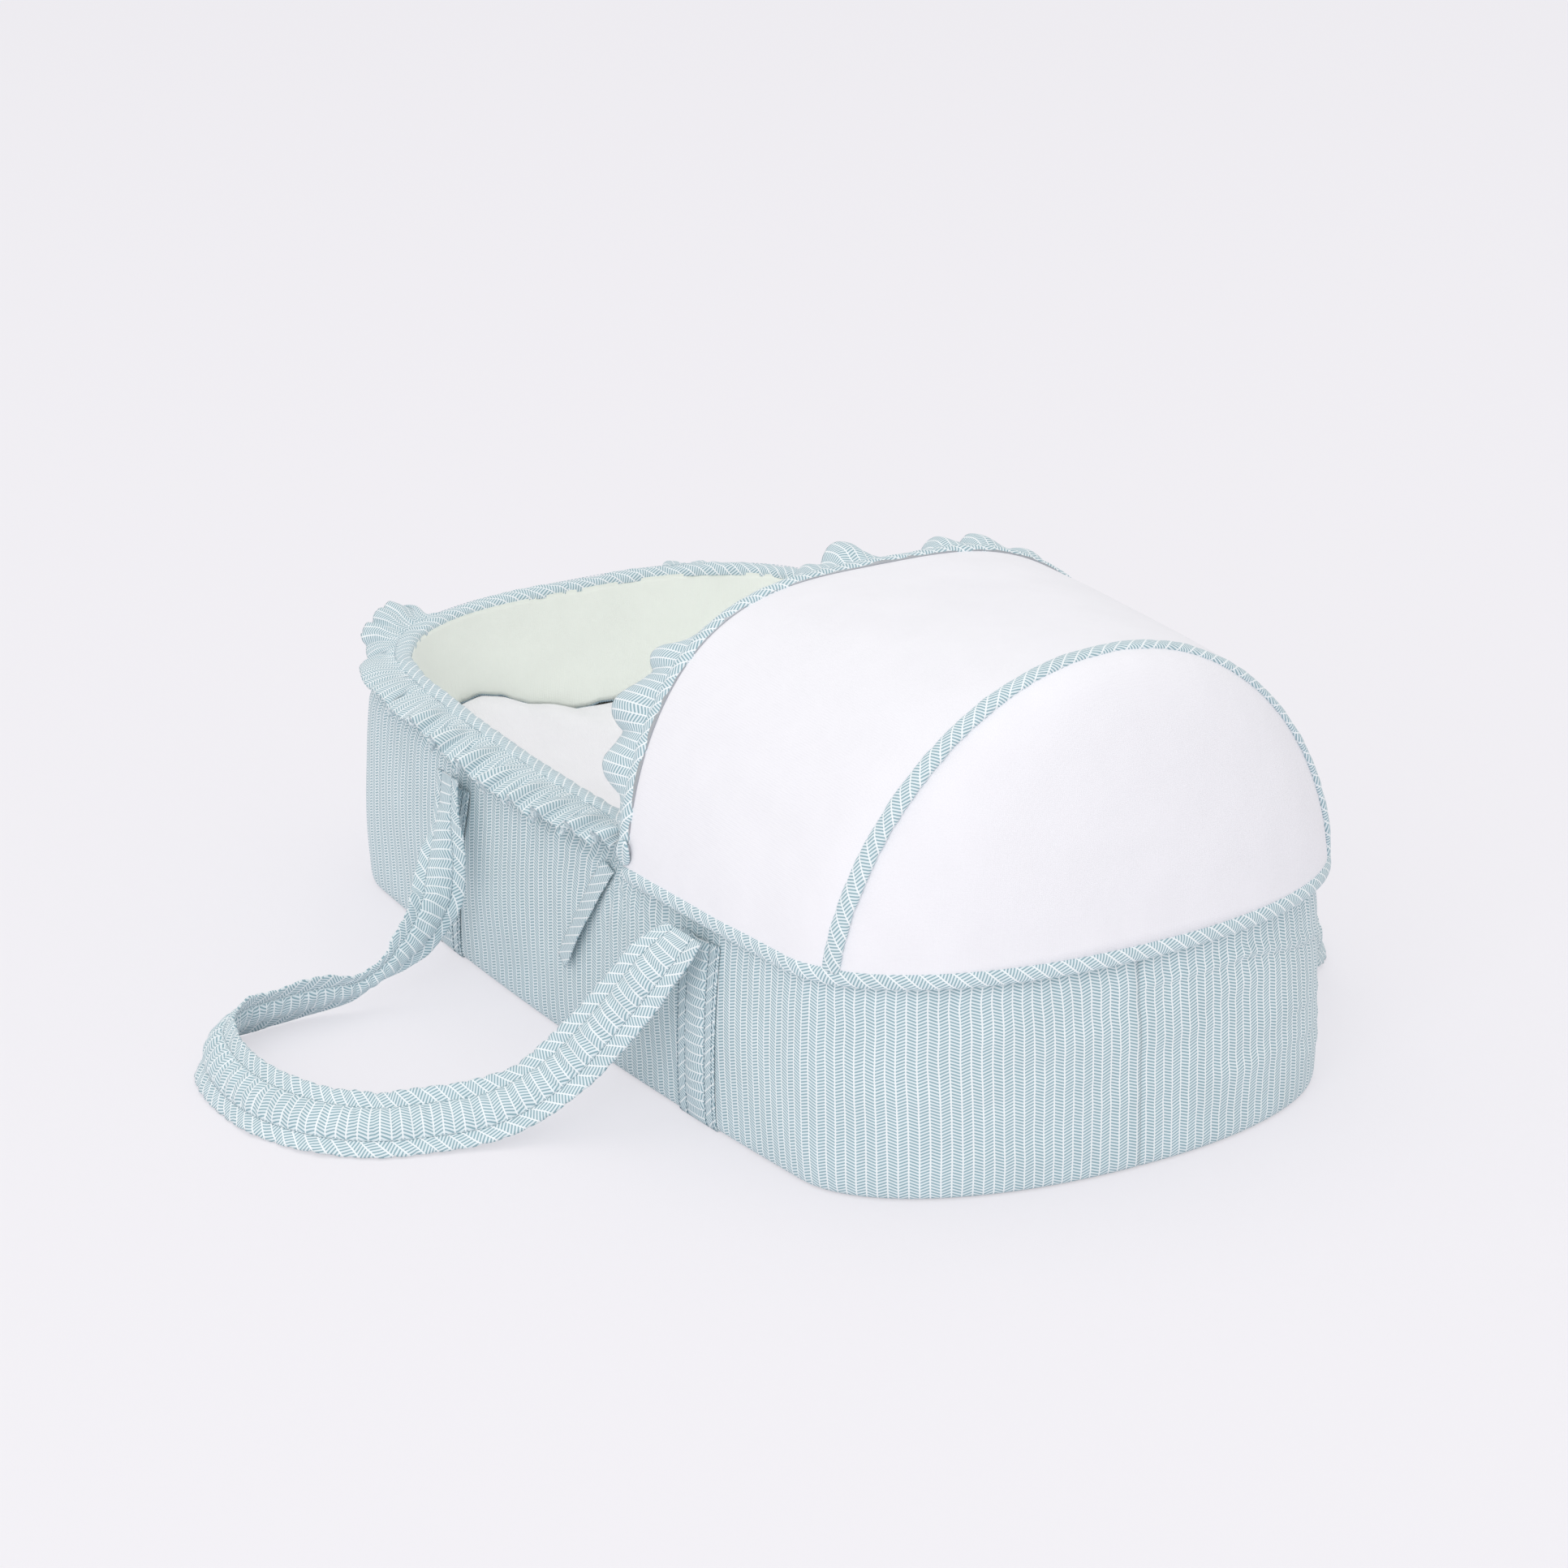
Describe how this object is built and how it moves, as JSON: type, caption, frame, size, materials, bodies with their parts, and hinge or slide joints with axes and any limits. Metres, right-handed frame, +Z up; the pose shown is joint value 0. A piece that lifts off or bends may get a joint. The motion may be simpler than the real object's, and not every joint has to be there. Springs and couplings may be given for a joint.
{
  "type": "carrycot",
  "caption": "Soft padded carrycot: oval basket with a frilled rim, a half-round folding hood on wire bows, a sheeted mattress and floppy carrying loops.",
  "frame": {"origin": "centre of the basket's footprint, on the floor", "axes": "+X towards the head end with the hood, +Y towards the side away from the picture, +Z up"},
  "size_m": [0.8029, 0.7868, 0.3259],
  "materials": {
    "printed_cotton": "white cotton printed with a fine blue-grey herringbone",
    "white_cotton": "plain white cotton",
    "green_lining": "plain pale green cotton",
    "foam": null,
    "hardboard": "plain hardboard",
    "spring_wire": "drawn spring wire",
    "hinge_plastic": "moulded plastic"
  },
  "bodies": {
    "basket": {"base_cover": "printed_cotton", "near_cover": "printed_cotton", "far_cover": "printed_cotton", "rim_binding": "printed_cotton", "near_rim_frill": "printed_cotton", "foot_rim_frill": "printed_cotton", "far_rim_frill": "printed_cotton", "hood_hem": "printed_cotton", "middle_band": "printed_cotton", "foot_strap": "printed_cotton", "head_strap": "printed_cotton", "near_tie": "printed_cotton", "far_tie": "printed_cotton", "lining_hem": "printed_cotton", "hood_top_panel": "white_cotton", "hood_end_panel": "white_cotton", "inner_lining": "green_lining", "near_wall_foam": "foam", "far_wall_foam": "foam", "head_wall_foam": "foam", "foot_wall_foam": "foam", "base_board": "hardboard", "middle_bow": "spring_wire", "near_bow_hinge": "hinge_plastic", "far_bow_hinge": "hinge_plastic"},
    "hood_front": {"front_bow": "spring_wire", "front_binding": "printed_cotton", "hood_frill": "printed_cotton"},
    "near_loop": {"near_handle": "printed_cotton"},
    "far_loop": {"far_handle": "printed_cotton"},
    "mattress": {"mattress_foam": "foam", "mattress_sheet": "white_cotton"}
  },
  "joints": [
    {"name": "hood_fold", "type": "hinge", "parent": "basket", "child": "hood_front", "pos_m": [0.11329, 0, 0.1605], "axis": [0, 1, 0], "range_deg": [0, 60], "deforming": ["hood_top_panel"]},
    {"name": "near_loop_lift", "type": "hinge", "parent": "basket", "child": "near_loop", "pos_m": [0.0275, -0.2045, 0.133], "axis": [-1, 0, 0], "range_deg": [0, 110], "deforming": ["near_rim_frill"]},
    {"name": "far_loop_lift", "type": "hinge", "parent": "basket", "child": "far_loop", "pos_m": [0.0275, 0.2045, 0.133], "axis": [1, 0, 0], "range_deg": [0, 110], "deforming": ["far_rim_frill"]},
    {"name": "mattress_lift", "type": "slide", "parent": "basket", "child": "mattress", "axis": [0, 0, 1], "range_m": [0, 0.1]}
  ]
}
